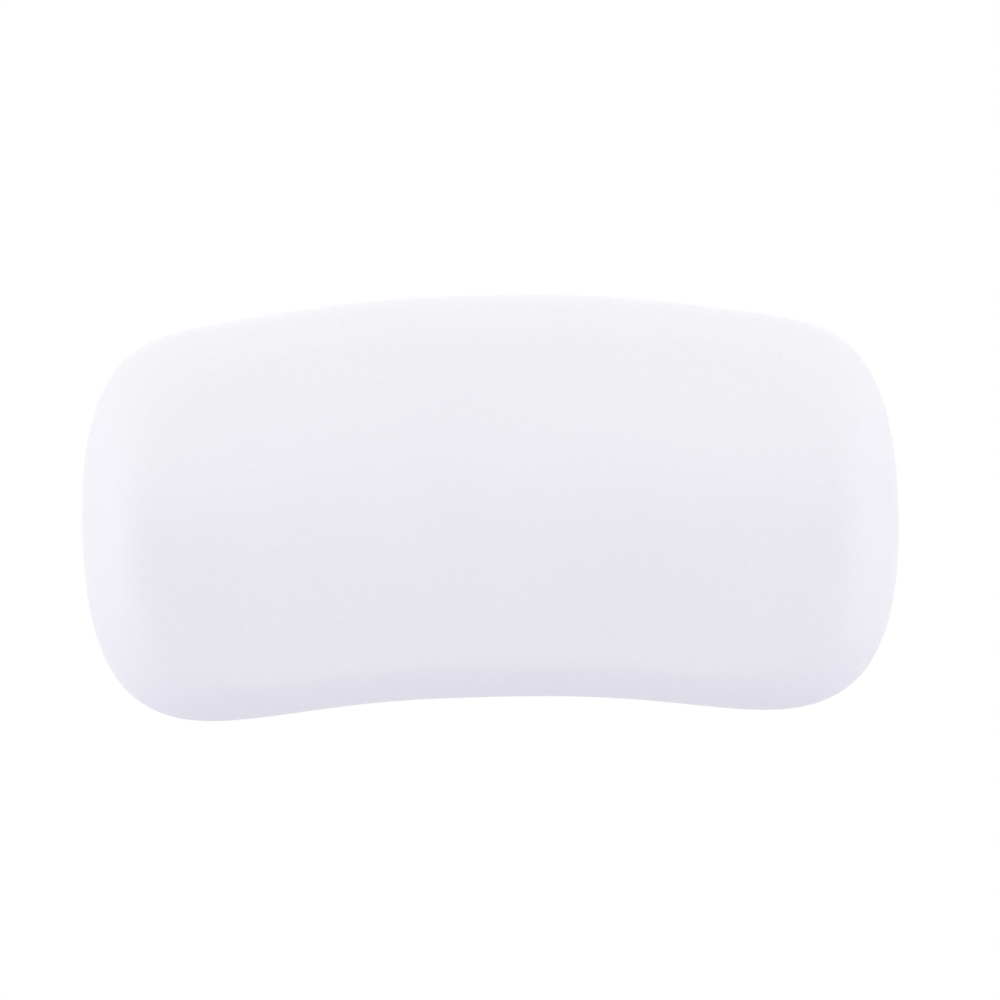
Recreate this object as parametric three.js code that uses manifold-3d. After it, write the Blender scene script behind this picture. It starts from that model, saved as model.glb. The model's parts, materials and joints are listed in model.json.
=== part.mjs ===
// Bath pillow: a moulded polyurethane neck cushion that two suction cups hold to the wall of a bathtub.
// Millimetres. X runs across the pillow, Y runs towards the tub wall and Z is up.
// The origin is on the wall, midway between the two cups, and the front of the pillow faces -Y.
// A depth is a distance from the wall, so a point at depth d has y = -d.

import * as THREE from "three";
import { mergeVertices } from "three/addons/utils/BufferGeometryUtils.js";
import Module from "manifold-3d";

const wasm = await Module();
wasm.setup();

// Pillow seen from the front: a squared oval band whose ends hang below its middle
const pillowWidth = 290;
const bandHeight = 142.8;
const bowDrop = 8.4;
const bowReach = 117;
const cupsAboveMiddle = 5.5;
const endSquareness = 9;
const edgeSquareness = 2.35;
const bowSquareness = 1.32;
const plainOval = 2;
const spineHalfLength = 78;

// Pillow seen from the side: the upper face leans back, the lower face stands upright
const frontDepth = 50;
const rearDepth = 13;
const rearStandoff = 8;
const leanSlope = 0.5;
const bendHeight = 12;
const bendSoftness = 9;
const chinRadius = 300;
const faceRadius = 2600;
const dishDepth = 2;
const dishHalfWidth = 62;
const dishHalfHeight = 30;
const dishHeight = 14;

// Rounding from the parting plane to the front face and to the flat back
const topRoll = 17;
const sideRoll = 28;
const bottomRoll = 13;
const rearRoll = 11;
const rollSquareness = 2.1;

// Walls and clearances
const skinThickness = 2;
const seatGap = 0.3;
const overrun = 1;

// Suction cups
const cupSpacing = 144;
const cupDiameter = 58;
const cupHeight = 13;
const cupHollow = 5.4;
const cupMembrane = 2.2;
const cupLip = 1.1;
const cupLand = 2.4;
const cupBossRadius = 8.6;
const cupFillet = 3.4;
const tabWidth = 12;
const tabLength = 9;
const tabThickness = 1.5;
const tabRidge = 0.5;
const tabRidges = 3;

// Studs that join the cups to the sockets
const studShankRadius = 2.9;
const studBeadRadius = 4.1;
const studBeadHeight = 2;
const studCollarRadius = 6.6;
const studCollarThickness = 1.3;
const studNeckRadius = 4;
const studHeadRadius = 8;
const studHeadThickness = 3.4;
const studHeadEdge = 1.2;

// Sockets with a keyhole each
const keyTravel = 14;
const keySeatClearance = 0.6;
const keyThroatClearance = 0.25;
const keyEntryClearance = 1;
const socketFaceThickness = 3;
const socketBevel = 0.8;
const flangeThickness = 2;
const flangeOverlap = 4.5;
const chamberClearance = 1.2;
const barrelWall = 1.9;
const hookThickness = 1.5;
const hookBite = 0.8;
const hookSlotWidth = 7;

// Recesses in the back of the pillow
const recessClearance = 4;
const recessMouthRadius = 3;

// Carrier plate and the caps that keep foam out of the keyholes
const plateHeight = 80;
const plateThickness = 3;
const plateEndMargin = 21;
const plateSquareness = 4;
const plateRibHeight = 4;
const plateRibThickness = 2.2;
const plateRibInset = 2.5;
const plateRibSpacing = 24;
const foamHoleRadius = 5;
const foamHoleMargin = 3.5;
const foamHoleAngle = 35;
const foamHoleRow = 18;
const locatorHeight = 3;
const locatorWall = 1.6;
const capWall = 1.6;
const capHeadroom = 0.5;

// Counts of steps, round an outline or a turned piece and along its curves
const quarterSteps = 14;
const innerQuarterSteps = 11;
const plateQuarterSteps = 5;
const rollSteps = 5;
const rearRollSteps = 4;
const faceSteps = 4;
const turnSteps = 32;
const studTurnSteps = 20;
const holeSteps = 12;
const curveSteps = 5;
const mouthSteps = 3;
const tracesPerStep = 40;

// Depths stacked up from the wall
const studCollarNear = cupHeight + seatGap;
const studCollarFar = studCollarNear + studCollarThickness;
const socketFaceNear = studCollarFar + seatGap;
const socketFaceFar = socketFaceNear + socketFaceThickness;
const flangeFar = socketFaceNear + flangeThickness;
const recessFloor = flangeFar + seatGap;
const pocketFar = recessFloor + skinThickness;
const plateNear = pocketFar + seatGap;
const plateFar = plateNear + plateThickness;
const hookNear = plateFar + seatGap;
const hookFar = hookNear + hookThickness;
const studHeadNear = socketFaceFar + seatGap;
const studHeadFar = studHeadNear + studHeadThickness;
const locatorFar = plateFar + locatorHeight;
const capFloorNear = Math.max(locatorFar, hookFar, studHeadFar) + capHeadroom;
const capFar = capFloorNear + capWall;
const partingDepth = rearStandoff + rearDepth;

// Radii stacked up from the stud
const chamberRadius = studHeadRadius + keyTravel / 2 + chamberClearance;
const barrelRadius = chamberRadius + barrelWall;
const flangeRadius = barrelRadius + flangeOverlap;
const barrelHoleRadius = barrelRadius + seatGap;
const hookRadius = barrelHoleRadius + hookBite;
const locatorInner = hookRadius + seatGap;
const locatorOuter = locatorInner + locatorWall;
const capInner = locatorOuter + seatGap;
const capOuter = capInner + capWall;
const recessRadius = Math.max(cupDiameter / 2, flangeRadius) + recessClearance;
const pocketRadius = recessRadius + skinThickness;

// Heights
const socketHeight = -keyTravel / 2;
const plateHalfWidth = cupSpacing / 2 + barrelHoleRadius + plateEndMargin;
const cupPlaces = [
  { side: "left", x: -cupSpacing / 2 },
  { side: "right", x: cupSpacing / 2 },
];

// Finish of each material
const skinFinish = { color: 0xf3f2f6, roughness: 0.5 };
const foamFinish = { color: 0xf4efe2, roughness: 0.95 };
const carrierFinish = { color: 0xe4e5e8, roughness: 0.5 };
const capFinish = { color: 0xd5d8dc, roughness: 0.6 };
const socketFinish = { color: 0xf0f0f0, roughness: 0.35 };
const studFinish = { color: 0xe9e6dc, roughness: 0.4 };
const cupFinish = { color: 0xdfe7ea, roughness: 0.15, opacity: 0.6, transparent: true };

// Solids: a geometry becomes a solid to be joined or cut, and turns back into a geometry afterwards
function solidOf(geometry) {
  const bare = geometry.index ? geometry.toNonIndexed() : geometry.clone();
  for (const name of Object.keys(bare.attributes)) {
    if (name !== "position") bare.deleteAttribute(name);
  }
  const merged = mergeVertices(bare);
  const vertProperties = merged.attributes.position.array;
  const triVerts = new Uint32Array(merged.index.array);
  return new wasm.Manifold(new wasm.Mesh({ numProp: 3, vertProperties, triVerts }));
}

function geometryOf(solid) {
  const mesh = solid.getMesh();
  const points = new Float32Array(mesh.numVert * 3);
  for (let i = 0; i < mesh.numVert; i++) {
    points.set(mesh.vertProperties.subarray(i * mesh.numProp, i * mesh.numProp + 3), i * 3);
  }
  const geometry = new THREE.BufferGeometry();
  geometry.setAttribute("position", new THREE.BufferAttribute(points, 3));
  geometry.setIndex(new THREE.BufferAttribute(mesh.triVerts, 1));
  const flat = geometry.toNonIndexed();
  flat.computeVertexNormals();
  return flat;
}

// A flat shape, drawn in X and Z, made into a slab between two depths
function slab(shape, near, far, steps = turnSteps) {
  const options = { depth: far - near, bevelEnabled: false, curveSegments: steps / 2 };
  const geometry = new THREE.ExtrudeGeometry(shape, options);
  geometry.rotateX(Math.PI / 2);
  geometry.translate(0, -near, 0);
  return solidOf(geometry);
}

// A profile of [radius, depth] pairs turned about the Y axis
function turned(profile, steps = turnSteps) {
  const points = profile.map(([radius, depth]) => new THREE.Vector2(radius, -depth));
  return solidOf(new THREE.LatheGeometry(points, steps));
}

function disc(radius, near, far) {
  return turned([[0, far], [radius, far], [radius, near], [0, near]]);
}

function ring(inner, outer, near, far) {
  return turned([[inner, far], [outer, far], [outer, near], [inner, near], [inner, far]]);
}

function circle(x, z, radius) {
  const path = new THREE.Shape();
  path.absarc(x, z, radius, 0, 2 * Math.PI, false);
  return path;
}

function block(x, z, width, height, near, far) {
  const shape = new THREE.Shape();
  shape.moveTo(x - width / 2, z - height / 2);
  shape.lineTo(x + width / 2, z - height / 2);
  shape.lineTo(x + width / 2, z + height / 2);
  shape.lineTo(x - width / 2, z + height / 2);
  return slab(shape, near, far);
}

// A point of the unit squared oval, whose cosine and sine keep their signs
function squaredOval(cosine, sine, squareness, crossSquareness) {
  return {
    x: Math.sign(cosine) * Math.abs(cosine) ** (2 / squareness),
    z: Math.sign(sine) * Math.abs(sine) ** (2 / crossSquareness),
  };
}

// Directions round the outline, the same in each quarter, spaced between even angles and even lengths
function directionsRound(steps) {
  const fine = tracesPerStep * steps;
  const travelled = [0];
  const at = (angle) => {
    const unit = squaredOval(Math.cos(angle), Math.sin(angle), endSquareness, edgeSquareness);
    return new THREE.Vector2((unit.x * pillowWidth) / 2, (unit.z * bandHeight) / 2);
  };
  const angles = Array.from({ length: fine + 1 }, (_, i) => (i / fine) * (Math.PI / 2));
  for (let i = 1; i <= fine; i++) {
    travelled.push(travelled[i - 1] + at(angles[i]).distanceTo(at(angles[i - 1])));
  }
  const measure = travelled.map((length, i) => length / travelled[fine] + i / fine);
  const quarter = [];
  for (let step = 1; step < steps; step++) {
    const wanted = (2 * step) / steps;
    const after = measure.findIndex((value) => value >= wanted);
    const share = (wanted - measure[after - 1]) / (measure[after] - measure[after - 1]);
    const angle = angles[after - 1] + share * (angles[after] - angles[after - 1]);
    quarter.push([Math.cos(angle), Math.sin(angle)]);
  }
  const back = [...quarter].reverse();
  return [
    [1, 0], ...quarter,
    [0, 1], ...back.map(([c, s]) => [-c, s]),
    [-1, 0], ...quarter.map(([c, s]) => [-c, -s]),
    [0, -1], ...back.map(([c, s]) => [c, -s]),
  ];
}

// How far the band has dropped at x
function bow(x) {
  const reach = Math.min(Math.abs(x) / bowReach, 1);
  return (-bowDrop * (1 - Math.cos(Math.PI * reach ** bowSquareness))) / 2;
}

// One ring round the band, taken in at the ends, the top and the bottom. Its height is above the cups
function bandRing(
  directions, ends, top, bottom, squareness = endSquareness, crossSquareness = edgeSquareness,
) {
  return directions.map(([cosine, sine]) => {
    const unit = squaredOval(cosine, sine, squareness, crossSquareness);
    const x = ends * unit.x;
    const z = (sine > 0 ? top : bottom) * unit.z;
    return { x, z: z + bow(x) - cupsAboveMiddle };
  });
}

// Depth of the front face in front of the parting plane
function faceDepth({ x, z }) {
  const height = z + cupsAboveMiddle - bow(x);
  const lean = leanSlope * bendSoftness * Math.log(1 + Math.exp((height - bendHeight) / bendSoftness));
  const tucked = Math.min(height - bendHeight, 0) ** 2 / (2 * chinRadius);
  const wrapped = x ** 2 / (2 * faceRadius);
  const dish = Math.exp(-((x / dishHalfWidth) ** 2) - ((height - dishHeight) / dishHalfHeight) ** 2);
  return frontDepth - lean - tucked - wrapped - dishDepth * dish;
}

// Rings of the front of the pillow, from the parting plane to the spine of its face
function frontRings(directions, inset) {
  const halfWidth = pillowWidth / 2 - inset;
  const halfHeight = bandHeight / 2 - inset;
  const rings = [];
  for (let step = 0; step <= rollSteps; step++) {
    const turn = ((Math.PI / 2) * step) / rollSteps;
    const { x: shelf, z: rise } = squaredOval(Math.cos(turn), Math.sin(turn), rollSquareness, rollSquareness);
    const taken = (roll) => (roll - inset) * (1 - shelf);
    const ends = halfWidth - taken(sideRoll);
    rings.push(
      bandRing(directions, ends, halfHeight - taken(topRoll), halfHeight - taken(bottomRoll))
        .map((p) => new THREE.Vector3(p.x, -partingDepth - rise * (faceDepth(p) - inset), p.z)),
    );
  }
  for (let step = 1; step <= faceSteps; step++) {
    const share = 1 - step / faceSteps;
    const from = (edge, middle) => middle + share * (edge - middle);
    rings.push(
      bandRing(
        directions,
        from(pillowWidth / 2 - sideRoll, spineHalfLength),
        from(bandHeight / 2 - topRoll, 0),
        from(bandHeight / 2 - bottomRoll, 0),
        from(endSquareness, plainOval),
        from(edgeSquareness, plainOval),
      ).map((p) => new THREE.Vector3(p.x, -partingDepth - faceDepth(p) + inset, p.z)),
    );
  }
  return rings;
}

// Rings of the back of the pillow, from the parting plane to the spine of the flat back
function rearRings(directions, inset) {
  const halfWidth = pillowWidth / 2 - inset;
  const halfHeight = bandHeight / 2 - inset;
  const rings = [];
  for (let step = 0; step <= rearRollSteps; step++) {
    const turn = ((Math.PI / 2) * step) / rearRollSteps;
    const taken = (rearRoll - inset) * (1 - Math.cos(turn));
    const depth = partingDepth - Math.sin(turn) * (rearDepth - inset);
    rings.push(
      bandRing(directions, halfWidth - taken, halfHeight - taken, halfHeight - taken)
        .map((p) => new THREE.Vector3(p.x, -depth, p.z)),
    );
  }
  rings.push(
    bandRing(directions, spineHalfLength, 0, 0, plainOval, plainOval)
      .map((p) => new THREE.Vector3(p.x, -rearStandoff - inset, p.z)),
  );
  return rings;
}

// A straight collar of the outline, with its flat end, that takes a half of the pillow past the parting plane
function collarRings(directions, inset, depth) {
  const halfHeight = bandHeight / 2 - inset;
  const outline = bandRing(directions, pillowWidth / 2 - inset, halfHeight, halfHeight);
  const spine = bandRing(directions, spineHalfLength, 0, 0, plainOval, plainOval);
  return [spine, outline].map((points) => points.map((p) => new THREE.Vector3(p.x, -depth, p.z)));
}

// Rings joined into one closed solid. The first and last rings are spines, where the two sides meet
function lofted(rings) {
  const count = rings[0].length;
  const points = rings.flat();
  const index = [];
  for (let ringAt = 0; ringAt < rings.length - 1; ringAt++) {
    for (let i = 0; i < count; i++) {
      const a = ringAt * count + i;
      const b = ringAt * count + ((i + 1) % count);
      index.push(a, b, a + count, b, b + count, a + count);
    }
  }
  const geometry = new THREE.BufferGeometry().setFromPoints(points).setIndex(index);
  return solidOf(geometry);
}

function frontHalf(directions, inset, past) {
  return lofted([
    ...collarRings(directions, inset, partingDepth - past),
    ...frontRings(directions, inset).slice(past > 0 ? 0 : 1),
  ]);
}

function rearHalf(directions, inset, past) {
  return lofted([
    ...rearRings(directions, inset).slice(past > 0 ? 0 : 1).reverse(),
    ...collarRings(directions, inset, partingDepth + past).reverse(),
  ]);
}

// Front skin: the crowned show face, moulded in the lower half of the tool
function frontSkin() {
  const hollow = frontHalf(directionsRound(innerQuarterSteps), skinThickness, overrun);
  return frontHalf(directionsRound(quarterSteps), 0, 0).subtract(hollow);
}

// The hollow of one recess, with its rounded mouth
function recessHollow() {
  const mouth = [];
  for (let step = 0; step <= mouthSteps; step++) {
    const turn = ((Math.PI / 2) * step) / mouthSteps;
    mouth.push([
      recessRadius + recessMouthRadius * (1 - Math.cos(turn)),
      rearStandoff + recessMouthRadius * (1 - Math.sin(turn)),
    ]);
  }
  const mouthEdge = recessRadius + recessMouthRadius;
  return turned([
    [0, recessFloor], [recessRadius, recessFloor], ...mouth,
    [mouthEdge, rearStandoff - overrun], [0, rearStandoff - overrun],
  ]);
}

// Rear skin: the flat back with a round recess for each cup, moulded by the lid of the tool
function rearSkin() {
  const inside = rearHalf(directionsRound(innerQuarterSteps), skinThickness, overrun);
  let skin = rearHalf(directionsRound(quarterSteps), 0, 0).subtract(inside);
  const pocket = ring(barrelHoleRadius, pocketRadius, rearStandoff + skinThickness / 2, pocketFar);
  const hollow = recessHollow();
  for (const place of cupPlaces) {
    const at = [place.x, 0, socketHeight];
    skin = skin.add(pocket.translate(at)).subtract(hollow.translate(at));
  }
  return skin;
}

// The outline of the carrier plate, grown outwards
function plateShape(grown) {
  const directions = directionsRound(plateQuarterSteps);
  const points = directions.map(([cosine, sine]) => {
    const unit = squaredOval(cosine, sine, plateSquareness, plateSquareness);
    return new THREE.Vector2(
      unit.x * (plateHalfWidth + grown),
      unit.z * (plateHeight / 2 + grown) + socketHeight,
    );
  });
  return new THREE.Shape(points);
}

// Places of the holes that let foam grow through the plate
function foamHolePlaces() {
  const reach = capOuter + foamHoleRadius + foamHoleMargin;
  const angle = THREE.MathUtils.degToRad(foamHoleAngle);
  const places = [];
  for (const up of [-1, 1]) {
    for (const out of [-1, 1]) {
      places.push([(out * plateRibSpacing) / 2, up * foamHoleRow]);
      for (const place of cupPlaces) {
        places.push([place.x + out * reach * Math.cos(angle), up * reach * Math.sin(angle)]);
      }
    }
  }
  return places.map(([x, z]) => [x, z + socketHeight]);
}

// Carrier plate. Grown by a clearance, the same body is what the foam leaves free
function carrierPlate(grown) {
  const shape = plateShape(grown);
  for (const [x, z] of foamHolePlaces()) shape.holes.push(circle(x, z, foamHoleRadius - grown));
  let plate = slab(shape, plateNear - grown, plateFar + grown, holeSteps);
  const ribFar = plateFar + plateRibHeight + grown;
  const rimShape = plateShape(grown - plateRibInset);
  rimShape.holes.push(plateShape(-plateRibInset - plateRibThickness - grown));
  plate = plate.add(slab(rimShape, plateFar - overrun, ribFar));
  const ribThickness = plateRibThickness + 2 * grown;
  const ribLength = plateHeight - 2 * plateRibInset - plateRibThickness;
  for (const place of [-1, 0, 1]) {
    plate = plate.add(
      block(place * plateRibSpacing, socketHeight, ribThickness, ribLength, plateFar - overrun, ribFar),
    );
  }
  const webLength = cupSpacing - 2 * capOuter - 2 * foamHoleMargin;
  plate = plate.add(block(0, socketHeight, webLength, ribThickness, plateFar - overrun, ribFar));
  const locator = ring(locatorInner, locatorOuter, plateFar - overrun, locatorFar);
  const hole = disc(barrelHoleRadius, plateNear - overrun, plateFar + overrun);
  for (const place of cupPlaces) {
    const at = [place.x, 0, socketHeight];
    plate = plate.add(locator.translate(at)).subtract(hole.translate(at));
  }
  return plate;
}

// Foam core: the whole inside of the skins, less the recesses, the plate and the caps
function foamCore() {
  const directions = directionsRound(innerQuarterSteps);
  const inset = skinThickness + seatGap;
  let core = lofted([...rearRings(directions, inset).reverse(), ...frontRings(directions, inset).slice(1)]);
  const pocket = disc(pocketRadius + seatGap, rearStandoff - overrun, plateNear);
  const cap = disc(capOuter + seatGap, plateNear - overrun, capFar + seatGap);
  core = core.subtract(carrierPlate(seatGap));
  for (const place of cupPlaces) {
    const at = [place.x, 0, socketHeight];
    core = core.subtract(pocket.translate(at)).subtract(cap.translate(at));
  }
  return core;
}

// Foam cap: a thin cup over the locator ring that keeps foam out of the keyhole chamber
function foamCap() {
  return turned([
    [0, capFloorNear], [capInner, capFloorNear], [capInner, plateFar + seatGap],
    [capOuter, plateFar + seatGap], [capOuter, capFar], [0, capFar], [0, capFloorNear],
  ].reverse());
}

// The keyhole: a seat for the neck at the top, a throat and a round entry for the head at the bottom
function keyholeCut() {
  const near = socketFaceNear - overrun;
  const far = socketFaceFar + overrun;
  const travel = keyTravel / 2;
  const seat = slab(circle(0, travel, studNeckRadius + keySeatClearance), near, far);
  const entry = slab(circle(0, -travel, studHeadRadius + keyEntryClearance), near, far);
  const throat = block(0, 0, 2 * (studNeckRadius + keyThroatClearance), keyTravel, near, far);
  return seat.add(entry).add(throat);
}

// Socket: a keyhole bush that snaps into the carrier plate and covers the cut edge of the skin
function socket() {
  const body = turned([
    [0, socketFaceFar], [chamberRadius, socketFaceFar], [chamberRadius, hookFar],
    [barrelRadius, hookFar], [hookRadius, hookNear], [barrelRadius, hookNear],
    [barrelRadius, flangeFar], [flangeRadius, flangeFar],
    [flangeRadius, socketFaceNear + socketBevel], [flangeRadius - socketBevel, socketFaceNear],
    [0, socketFaceNear], [0, socketFaceFar],
  ]);
  const across = 2 * (hookRadius + overrun);
  const slot = block(0, 0, hookSlotWidth, across, plateNear, hookFar + overrun);
  const crossSlot = block(0, 0, across, hookSlotWidth, plateNear, hookFar + overrun);
  return body.subtract(slot).subtract(crossSlot).subtract(keyholeCut());
}

// Cup stud: a mushroom head for the keyhole at one end and a bead for the cup at the other
function cupStud() {
  const beadNear = cupHollow + cupMembrane + seatGap;
  const beadMiddle = beadNear + studBeadHeight / 2;
  const beadFar = beadNear + studBeadHeight;
  const crown = [];
  for (let step = 0; step < curveSteps; step++) {
    const turn = ((Math.PI / 2) * step) / curveSteps;
    crown.push([
      studHeadRadius * Math.cos(turn),
      studHeadNear + studHeadEdge + (studHeadThickness - studHeadEdge) * Math.sin(turn),
    ]);
  }
  return turned([
    [0, studHeadFar], ...crown.reverse(), [studHeadRadius, studHeadNear],
    [studNeckRadius, studHeadNear], [studNeckRadius, studCollarFar],
    [studCollarRadius, studCollarFar], [studCollarRadius, studCollarNear],
    [studShankRadius, studCollarNear], [studShankRadius, beadFar],
    [studBeadRadius, beadMiddle], [studShankRadius, beadNear], [0, beadNear],
  ], studTurnSteps);
}

// The dome of a cup as [radius, depth] pairs: its hollow underside, its lip and its back
function cupDome() {
  const rim = cupDiameter / 2;
  const landInner = rim - cupLand;
  const under = [];
  const over = [];
  const bossFoot = cupBossRadius + cupFillet;
  const shoulder = cupHollow + cupMembrane;
  for (let step = 0; step <= curveSteps; step++) {
    const share = step / curveSteps;
    under.push([landInner * share, cupHollow * (1 - share ** 2)]);
    over.push([
      rim + (bossFoot - rim) * share,
      cupLip + (shoulder - cupLip) * Math.sin((Math.PI / 2) * share),
    ]);
  }
  return { under, over, rim, shoulder };
}

// Pull tab on the rim of a cup, with ridges for the fingers
function pullTab(rim) {
  const shape = new THREE.Shape();
  const half = tabWidth / 2;
  const root = rim - cupLand;
  const tip = rim + tabLength;
  shape.moveTo(-half, root);
  shape.lineTo(half, root);
  shape.lineTo(half, tip - half);
  shape.absarc(0, tip - half, half, 0, Math.PI, false);
  let tab = slab(shape, 0, tabThickness, holeSteps);
  const pitch = (tabLength - half) / tabRidges;
  const ridgeWidth = tabWidth - tabThickness;
  for (let i = 1; i <= tabRidges; i++) {
    const height = rim + i * pitch;
    tab = tab.add(block(0, height, ridgeWidth, pitch / 2, tabThickness / 2, tabThickness + tabRidge));
  }
  return tab;
}

// Suction cup: a soft dome with a boss that grips the bead of the stud
function suctionCup() {
  const { under, over, rim, shoulder } = cupDome();
  const grooveRadius = studBeadRadius + seatGap;
  const grooveFar = shoulder + studBeadHeight + 2 * seatGap;
  const mouthRadius = studShankRadius + seatGap;
  const filletTop = [cupBossRadius, Math.min(shoulder + cupFillet, cupHeight - seatGap)];
  const body = turned([
    ...[...under].reverse().slice(0, -1), [0, cupHollow],
    [0, shoulder], [grooveRadius, shoulder], [grooveRadius, grooveFar], [mouthRadius, grooveFar],
    [mouthRadius, cupHeight], [cupBossRadius, cupHeight], filletTop,
    ...[...over].reverse(), [rim, 0], [rim - cupLand, 0],
  ]);
  return body.add(pullTab(rim));
}

// The assembly
function piece(name, solid, finish) {
  const mesh = new THREE.Mesh(geometryOf(solid), new THREE.MeshStandardMaterial({ metalness: 0, ...finish }));
  mesh.name = name;
  return mesh;
}

const pillow = new THREE.Group();
pillow.add(
  piece("front_skin", frontSkin(), skinFinish),
  piece("rear_skin", rearSkin(), skinFinish),
  piece("foam_core", foamCore(), foamFinish),
  piece("carrier_plate", carrierPlate(0), carrierFinish),
);

for (const { side, x } of cupPlaces) {
  const mount = new THREE.Group();
  mount.position.set(x, 0, socketHeight);
  const seat = new THREE.Group();
  seat.position.z = keyTravel / 2;
  seat.add(
    piece(`${side}_cup_stud`, cupStud(), studFinish),
    piece(`${side}_suction_cup`, suctionCup(), cupFinish),
  );
  mount.add(
    piece(`${side}_foam_cap`, foamCap(), capFinish),
    piece(`${side}_socket`, socket(), socketFinish),
    seat,
  );
  pillow.add(mount);
}

export default pillow;
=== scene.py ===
"""Looks of a moulded bath pillow: its skins, foam, sockets, studs and suction cups.

Shapes are worked out in millimetres, across (x), from the tub wall (depth) and up (z), and
become metres when a mesh is made. The front of the pillow faces -Y, so y is minus the depth.
"""

import json
import math

import bmesh
import bpy
import numpy as np
from mathutils import Matrix, Vector, noise


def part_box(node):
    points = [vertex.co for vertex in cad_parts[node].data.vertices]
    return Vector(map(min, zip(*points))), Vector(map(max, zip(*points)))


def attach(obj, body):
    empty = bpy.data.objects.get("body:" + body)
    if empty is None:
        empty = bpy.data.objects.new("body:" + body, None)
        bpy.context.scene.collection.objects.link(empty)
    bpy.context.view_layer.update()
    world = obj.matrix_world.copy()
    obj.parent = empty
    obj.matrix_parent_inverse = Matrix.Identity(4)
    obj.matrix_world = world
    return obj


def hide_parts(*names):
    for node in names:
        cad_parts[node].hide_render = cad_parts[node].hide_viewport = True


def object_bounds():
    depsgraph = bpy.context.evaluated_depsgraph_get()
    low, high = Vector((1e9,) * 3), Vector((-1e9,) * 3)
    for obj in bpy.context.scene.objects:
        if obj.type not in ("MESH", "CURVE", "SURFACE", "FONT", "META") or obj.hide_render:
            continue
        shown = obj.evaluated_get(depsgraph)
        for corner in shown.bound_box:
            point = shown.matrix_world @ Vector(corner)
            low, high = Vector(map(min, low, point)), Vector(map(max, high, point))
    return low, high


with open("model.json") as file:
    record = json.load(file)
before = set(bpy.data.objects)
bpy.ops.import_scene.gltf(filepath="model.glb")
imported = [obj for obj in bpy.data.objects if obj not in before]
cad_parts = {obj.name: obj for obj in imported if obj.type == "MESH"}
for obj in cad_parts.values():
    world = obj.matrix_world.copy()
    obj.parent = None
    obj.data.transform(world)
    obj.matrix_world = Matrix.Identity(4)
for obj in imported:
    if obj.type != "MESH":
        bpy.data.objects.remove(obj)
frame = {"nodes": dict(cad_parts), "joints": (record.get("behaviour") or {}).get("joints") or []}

cad_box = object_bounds()

MM = 0.001


def millimetres(node):
    """The box of a CAD node in millimetres, as its lowest and highest corners."""
    low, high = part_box(node)
    return low / MM, high / MM


# Places that the frame gives
rear_low, rear_high = millimetres("rear_skin")
joints = {joint["name"]: joint for joint in frame["joints"]}
HALF_WIDTH = millimetres("front_skin")[1].x
PARTING_DEPTH = -rear_low.y
STANDOFF = -rear_high.y
STUD_TRAVEL = -joints["left_stud_slide"]["range_m"][0] / MM
MIDDLE = (cad_box[0] + cad_box[1]) / 2
SIDES = ("left", "right")

# Outline of the pillow seen from the front: a squared oval band whose ends hang down
BAND_HALF_HEIGHT = 71.4
BOW_DROP = 8.4
BOW_REACH = 117
BOW_SQUARENESS = 1.32
CUPS_ABOVE_MIDDLE = 5.5
END_SQUARENESS = 9
EDGE_SQUARENESS = 2.35

# Face of the pillow: it leans back above a bend and is dished for the neck
FRONT_DEPTH = 50
LEAN_SLOPE = 0.5
BEND_HEIGHT = 12
BEND_SOFTNESS = 9
CHIN_RADIUS = 300
FACE_RADIUS = 2600
DISH_DEPTH = 2
DISH_HALF_WIDTH = 62
DISH_HALF_HEIGHT = 30
DISH_HEIGHT = 14
SPINE_HALF_LENGTH = 78
PLAIN_OVAL = 2

# Rolls from the parting line to the face and to the back
TOP_ROLL = 17
SIDE_ROLL = 28
BOTTOM_ROLL = 13
REAR_ROLL = 11
ROLL_SQUARENESS = 2.1

# Skins: their wall, the rounding of their edges at the parting line, and the unevenness of soft foam
SKIN_WALL = 2
SKIN_EDGE_ROUND = 0.5
UNEVEN_HEIGHT = 0.22
UNEVEN_LENGTH = 38
UNEVEN_FADE = 7

# The gap between pieces that touch, and how far a cutter runs past what it cuts
SEAT_GAP = 0.3
OVERRUN = 1

# Recesses in the back
RECESS_CLEARANCE = 4
MOUTH_ROUND = 3
FOOT_ROUND = 1.6

# Sockets: a flange over the edge of the skin, a barrel with snap hooks, and a keyhole
FLANGE_THICKNESS = 2
FLANGE_OVERLAP = 4.5
FLANGE_ROUND = 0.8
FACE_THICKNESS = 3
BARREL_WALL = 1.9
HOOK_THICKNESS = 1.5
HOOK_BITE = 0.8
HOOK_SLOT = 7
KEY_SEAT_CLEARANCE = 0.6
KEY_THROAT_CLEARANCE = 0.25
KEY_ENTRY_CLEARANCE = 1
KEY_CHAMFER = 0.6

# Studs: a domed head, a neck, a collar, and a shank with a bead
HEAD_RADIUS = 8
HEAD_EDGE = 1.2
HEAD_THICKNESS = 3.4
NECK_RADIUS = 4
COLLAR_RADIUS = 6.6
COLLAR_THICKNESS = 1.3
SHANK_RADIUS = 2.9
BEAD_RADIUS = 4.1
BEAD_HEIGHT = 2
STUD_ROUND = 0.4

# Suction cups: a boss, a thin dome and a lip, whose rounding starts at an angle in degrees
CUP_HEIGHT = 13
HOLLOW_DEPTH = 5.4
DOME_THICKNESS = 2.2
LIP_THICKNESS = 1.1
LIP_ROUND = 0.4
LIP_ANGLE = 60
LAND_WIDTH = 2.4
BOSS_RADIUS = 8.6
BOSS_ROUND = 0.9
BOSS_FILLET = 3.4

# Pull tabs and their grip ridges
TAB_WIDTH = 12
TAB_THICKNESS = 1.5
TAB_BEVEL = 0.4
RIDGE_COUNT = 3
RIDGE_HEIGHT = 0.45
RIDGE_INSET = 1.5
RIDGE_REACH_SHARE = 1 / 3
RIDGE_END_SHARE = 0.5

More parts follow.
